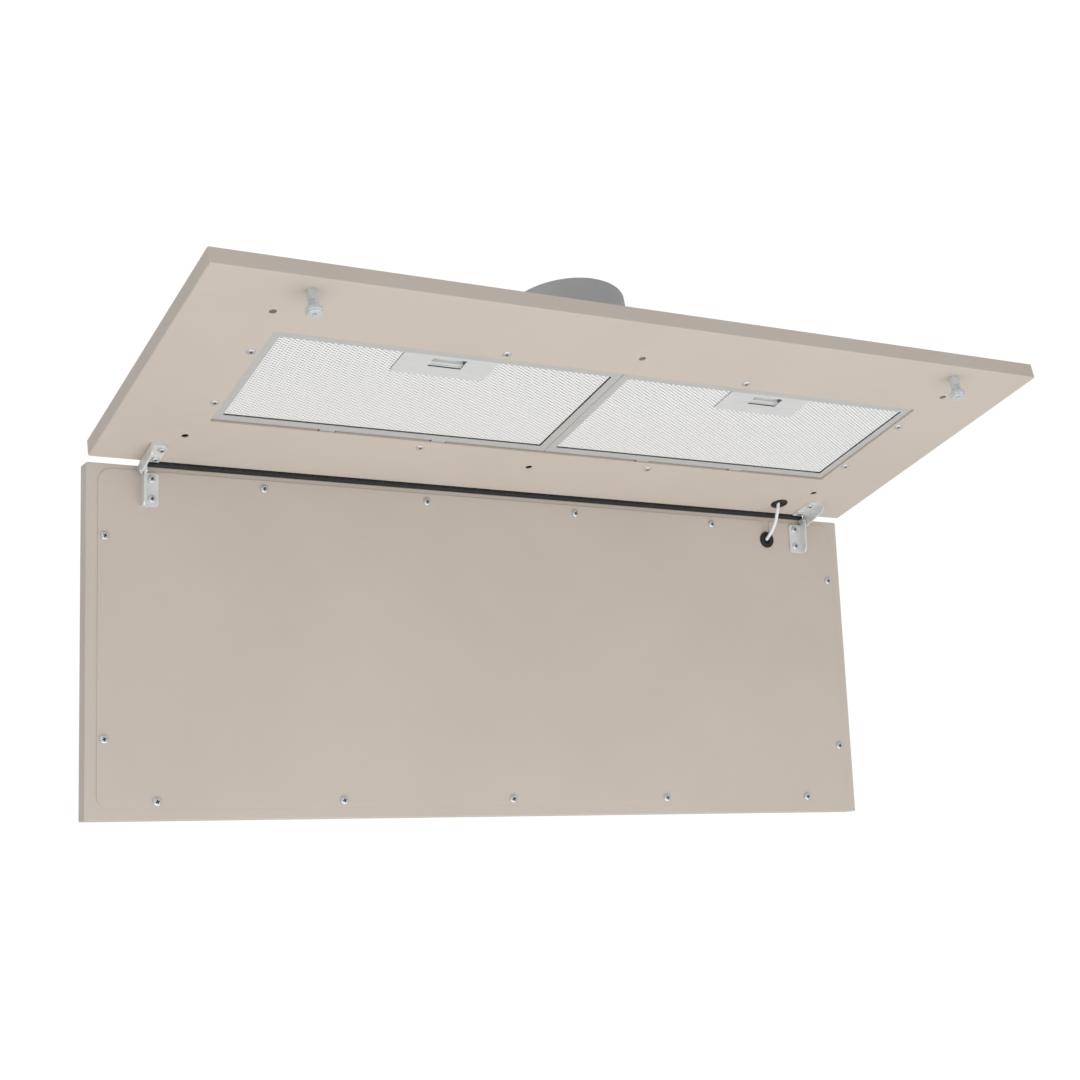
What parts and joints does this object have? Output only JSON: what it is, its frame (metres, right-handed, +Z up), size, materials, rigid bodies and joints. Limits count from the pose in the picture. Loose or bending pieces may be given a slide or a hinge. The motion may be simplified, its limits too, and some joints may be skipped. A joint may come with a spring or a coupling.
{
  "type": "under cabinet range hood",
  "caption": "Built-in under cabinet range hood: a folded tray with grease filters, a low blower housing with a round duct collar, and a hinged flap panel hanging open.",
  "frame": {"origin": "centre of the cabinet fixing holes, on the underside of the tray", "axes": "+X to the hood's right along its width, +Y to the rear where the flap is hinged, +Z up into the cabinet"},
  "size_m": [0.9, 0.4513, 0.4533],
  "materials": {
    "body_paint": "fine satin powder coat, champagne beige",
    "zinc_sheet": "galvanised sheet",
    "bracket_steel": "zinc plated pressed steel",
    "screw_steel": "bright zinc plated",
    "filter_aluminium": "satin aluminium",
    "filter_mesh": "expanded aluminium mesh",
    "black_rubber": "soft matt rubber",
    "duct_plastic": "grey moulded plastic",
    "black_plastic": "black moulded plastic",
    "box_plastic": "light grey moulded plastic",
    "cable_white": "white cable sheath",
    "motor_paint": "dark electro coat",
    "magnet_ferrite": "sintered ferrite",
    "board_green": "circuit board",
    "lens": "frosted light diffuser",
    "touch_glass": "back painted glass"
  },
  "bodies": {
    "housing": {"base_bracket_screws": "screw_steel", "base_grommet": "black_rubber", "base_tray": "body_paint", "blower_casing": "black_plastic", "blower_cover": "zinc_sheet", "blower_screws": "screw_steel", "cable_gland": "black_plastic", "control_board": "board_green", "control_box": "box_plastic", "control_box_lid": "box_plastic", "damper_spindle": "screw_steel", "duct_spigot": "duct_plastic", "filter_keeper_left": "bracket_steel", "filter_keeper_right": "bracket_steel", "flap_cable": "cable_white", "hinge_base_bracket_left": "bracket_steel", "hinge_base_bracket_right": "bracket_steel", "hinge_rivets": "screw_steel", "housing_nuts": "zinc_sheet", "housing_screws": "screw_steel", "magnet_cups": "bracket_steel", "magnet_screws": "screw_steel", "magnets": "magnet_ferrite", "mains_gland": "black_plastic", "motor": "motor_paint", "outlet_box": "zinc_sheet", "plenum_housing": "zinc_sheet", "rear_seal": "black_rubber", "run_capacitor": "filter_aluminium", "spigot_screws": "screw_steel", "standoffs": "bracket_steel", "terminal_block": "black_plastic", "tray_hole_caps": "black_plastic"},
    "flap": {"flap_panel": "body_paint", "flap_cover": "body_paint", "cover_screws": "screw_steel", "hinge_flap_bracket_left": "bracket_steel", "hinge_flap_bracket_right": "bracket_steel", "flap_bracket_screws": "screw_steel", "flap_grommet": "black_rubber", "flap_stiffeners": "zinc_sheet", "led_holder": "filter_aluminium", "led_lens": "lens", "touch_control": "touch_glass"},
    "impeller": {"impeller": "black_plastic", "motor_shaft": "screw_steel"},
    "damper_left": {"damper_flap_left": "duct_plastic"},
    "damper_right": {"damper_flap_right": "duct_plastic"},
    "filter_left": {"filter_frame_left": "filter_aluminium", "filter_mesh_left": "filter_mesh", "filter_pad_left": "filter_mesh", "filter_handle_left": "filter_aluminium", "latch_spring_left": "screw_steel"},
    "latch_left": {"filter_latch_left": "filter_aluminium"},
    "filter_right": {"filter_frame_right": "filter_aluminium", "filter_mesh_right": "filter_mesh", "filter_pad_right": "filter_mesh", "filter_handle_right": "filter_aluminium", "latch_spring_right": "screw_steel"},
    "latch_right": {"filter_latch_right": "filter_aluminium"}
  },
  "joints": [
    {"name": "flap_hinge", "type": "hinge", "parent": "housing", "child": "flap", "pos_m": [0, 0.17205, -0.0091], "axis": [-1, 0, 0], "range_deg": [0, 102.3], "deforming": ["flap_cable"]},
    {"name": "impeller_spin", "type": "hinge", "parent": "housing", "child": "impeller", "pos_m": [-0.128, -0.00085, 0.05], "axis": [0, 0, 1], "continuous": true},
    {"name": "damper_left_swing", "type": "hinge", "parent": "housing", "child": "damper_left", "pos_m": [0, -0.00085, 0.081], "axis": [0, 1, 0], "range_deg": [0, 75]},
    {"name": "damper_right_swing", "type": "hinge", "parent": "housing", "child": "damper_right", "pos_m": [0, -0.00085, 0.081], "axis": [0, -1, 0], "range_deg": [0, 75]},
    {"name": "filter_left_tilt", "type": "hinge", "parent": "housing", "child": "filter_left", "pos_m": [-0.181, 0.0823, 0.0032], "axis": [-1, 0, 0], "range_deg": [-40, 0], "deforming": ["filter_keeper_left"]},
    {"name": "latch_left_slide", "type": "slide", "parent": "filter_left", "child": "latch_left", "axis": [0, 1, 0], "range_m": [0, 0.0045], "stiffness_N_per_m": 150, "springref_m": -0.004, "deforming": ["latch_spring_left"]},
    {"name": "filter_right_tilt", "type": "hinge", "parent": "housing", "child": "filter_right", "pos_m": [0.181, 0.0823, 0.0032], "axis": [-1, 0, 0], "range_deg": [-40, 0], "deforming": ["filter_keeper_right"]},
    {"name": "latch_right_slide", "type": "slide", "parent": "filter_right", "child": "latch_right", "axis": [0, 1, 0], "range_m": [0, 0.0045], "stiffness_N_per_m": 150, "springref_m": -0.004, "deforming": ["latch_spring_right"]}
  ]
}
